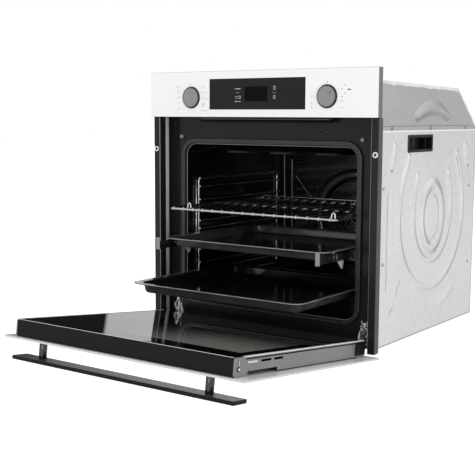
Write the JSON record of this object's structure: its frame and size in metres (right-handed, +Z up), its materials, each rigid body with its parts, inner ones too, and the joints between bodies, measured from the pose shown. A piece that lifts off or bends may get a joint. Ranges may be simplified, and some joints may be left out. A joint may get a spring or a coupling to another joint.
{
  "type": "built-in wall oven",
  "caption": "Built-in wall oven with white glass front, drop-down door with bar handle, enamelled cavity, side racks, wire shelf, drawn-out trays and retractable knobs.",
  "frame": {"origin": "on the underside of the base panel, on the oven's middle plane, where the front flange meets the furniture", "axes": "+X to the right seen from the front, +Y from the front into the oven, +Z up"},
  "size_m": [0.595, 1.0231, 0.5996],
  "materials": {
    "frame_enamel": "glossy black enamel",
    "cavity_enamel": "glossy black enamel",
    "gasket": "satin silicone",
    "galvanised_steel": "galvanised, fine spangle",
    "glass_fibre": "fibrous",
    "element_sheath": "dull, heat-darkened",
    "aluminium": "satin",
    "motor_steel": "satin",
    "black_plastic": "matte",
    "lamp_parts": "glazed",
    "clear_glass": "clear",
    "brushed_steel": "brushed",
    "white_glass": "back-painted white glass",
    "grey_plastic": "satin grey",
    "black_glass": "gloss",
    "circuit_board": "lacquered",
    "knob_grey": "satin grey",
    "inner_glass": "coated, gloss",
    "silver_profile": "satin silver",
    "trim_black": "fine matte",
    "hinge_steel": "bright zinc",
    "handle_anodised": "dark anodised, brushed",
    "dark_chrome": "dark polished",
    "chrome_wire": "polished",
    "rail_steel": "polished steel",
    "tray_enamel": "dark brown enamel",
    "rubber_grey": "matte",
    "screw_steel": "zinc"
  },
  "bodies": {
    "casing": {"front_frame": "frame_enamel", "cavity_liner": "cavity_enamel", "rear_cover": "cavity_enamel", "door_gasket": "gasket", "side_panel_right": "galvanised_steel", "side_panel_left": "galvanised_steel", "grip_recesses": "black_plastic", "base_panel": "galvanised_steel", "rear_panel": "galvanised_steel", "top_cover": "galvanised_steel", "divider_plate": "galvanised_steel", "insulation_blanket": "glass_fibre", "grill_element": "element_sheath", "bottom_element": "element_sheath", "ring_element": "element_sheath", "fan_motor": "motor_steel", "blower_housing": "galvanised_steel", "blower_motor": "motor_steel", "air_duct": "galvanised_steel", "outlet_deflector": "black_plastic", "lamp_holder_and_bulb": "lamp_parts", "lamp_lens": "clear_glass", "temperature_probe": "brushed_steel", "terminal_block": "black_plastic", "fascia_glass": "white_glass", "fascia_carrier": "grey_plastic", "display_panel": "black_glass", "control_board": "circuit_board", "selector_switches": "black_plastic", "hinge_arms": "hinge_steel", "hinge_receivers": "galvanised_steel", "side_racks": "chrome_wire", "rail_fixed": "rail_steel", "bumpers": "rubber_grey", "panel_screws": "screw_steel"},
    "door": {"door_outer_glass": "white_glass", "door_middle_glass": "clear_glass", "door_inner_glass": "inner_glass", "door_profiles": "silver_profile", "door_trim": "trim_black", "trim_caps": "silver_profile", "door_bottom_rail": "galvanised_steel", "door_spacers": "black_plastic", "hinge_bodies": "hinge_steel", "hinge_pins": "hinge_steel", "handle_bar": "handle_anodised", "handle_posts": "dark_chrome"},
    "wire_shelf": {"wire_rack": "chrome_wire"},
    "upper_tray": {"baking_tray": "tray_enamel", "rail_moving": "rail_steel"},
    "runner_middle": {"rail_middle": "rail_steel"},
    "lower_tray": {"deep_tray": "tray_enamel"},
    "convection_fan": {"fan_blade": "aluminium"},
    "cooling_blower": {"blower_wheel": "aluminium"},
    "left_knob_shaft": {"knob_shaft_left": "brushed_steel"},
    "right_knob_shaft": {"knob_shaft_right": "brushed_steel"},
    "left_knob": {"knob_cap_left": "knob_grey"},
    "right_knob": {"knob_cap_right": "knob_grey"},
    "left_lock_lever": {"lock_lever_left": "hinge_steel"},
    "right_lock_lever": {"lock_lever_right": "hinge_steel"}
  },
  "joints": [
    {"name": "door_hinge", "type": "hinge", "parent": "casing", "child": "door", "pos_m": [0, -0.0044, 0.0018], "axis": [-1, 0, 0], "range_deg": [-6.7, 83.3]},
    {"name": "wire_shelf_slide", "type": "slide", "parent": "casing", "child": "wire_shelf", "axis": [0, 1, 0], "range_m": [-0.00686, 0.08502]},
    {"name": "upper_tray_slide", "type": "slide", "parent": "casing", "child": "upper_tray", "axis": [0, 1, 0], "range_m": [-0.01088, 0.13502]},
    {"name": "runner_middle_slide", "type": "slide", "parent": "casing", "child": "runner_middle", "axis": [0, 1, 0], "range_m": [-0.00545, 0.06752]},
    {"name": "lower_tray_slide", "type": "slide", "parent": "casing", "child": "lower_tray", "axis": [0, 1, 0], "range_m": [-0.01932, 0.24002]},
    {"name": "convection_fan_spin", "type": "hinge", "parent": "casing", "child": "convection_fan", "pos_m": [0, 0.45, 0.228], "axis": [0, 1, 0], "continuous": true},
    {"name": "cooling_blower_spin", "type": "hinge", "parent": "casing", "child": "cooling_blower", "pos_m": [0, 0.385, 0.47], "axis": [0, 0, 1], "continuous": true},
    {"name": "left_knob_turn", "type": "hinge", "parent": "casing", "child": "left_knob_shaft", "pos_m": [-0.178, 0, 0.527], "axis": [0, 1, 0], "continuous": true},
    {"name": "right_knob_turn", "type": "hinge", "parent": "casing", "child": "right_knob_shaft", "pos_m": [0.178, 0, 0.527], "axis": [0, 1, 0], "range_deg": [-45, 225]},
    {"name": "left_knob_push", "type": "slide", "parent": "left_knob_shaft", "child": "left_knob", "axis": [0, -1, 0], "range_m": [0, 0.018]},
    {"name": "right_knob_push", "type": "slide", "parent": "right_knob_shaft", "child": "right_knob", "axis": [0, -1, 0], "range_m": [0, 0.018]},
    {"name": "left_lock_turn", "type": "hinge", "parent": "casing", "child": "left_lock_lever", "pos_m": [-0.25, 0.0226, 0.046], "axis": [1, 0, 0], "range_deg": [-100, 0]},
    {"name": "right_lock_turn", "type": "hinge", "parent": "casing", "child": "right_lock_lever", "pos_m": [0.25, 0.0226, 0.046], "axis": [1, 0, 0], "range_deg": [-100, 0]}
  ],
  "couplings": [
    {"joint": "wire_shelf_slide", "follows": "door_hinge", "m_per_rad": 0.058465},
    {"joint": "upper_tray_slide", "follows": "door_hinge", "m_per_rad": 0.092856},
    {"joint": "runner_middle_slide", "follows": "door_hinge", "m_per_rad": 0.046428},
    {"joint": "lower_tray_slide", "follows": "door_hinge", "m_per_rad": 0.16508}
  ]
}
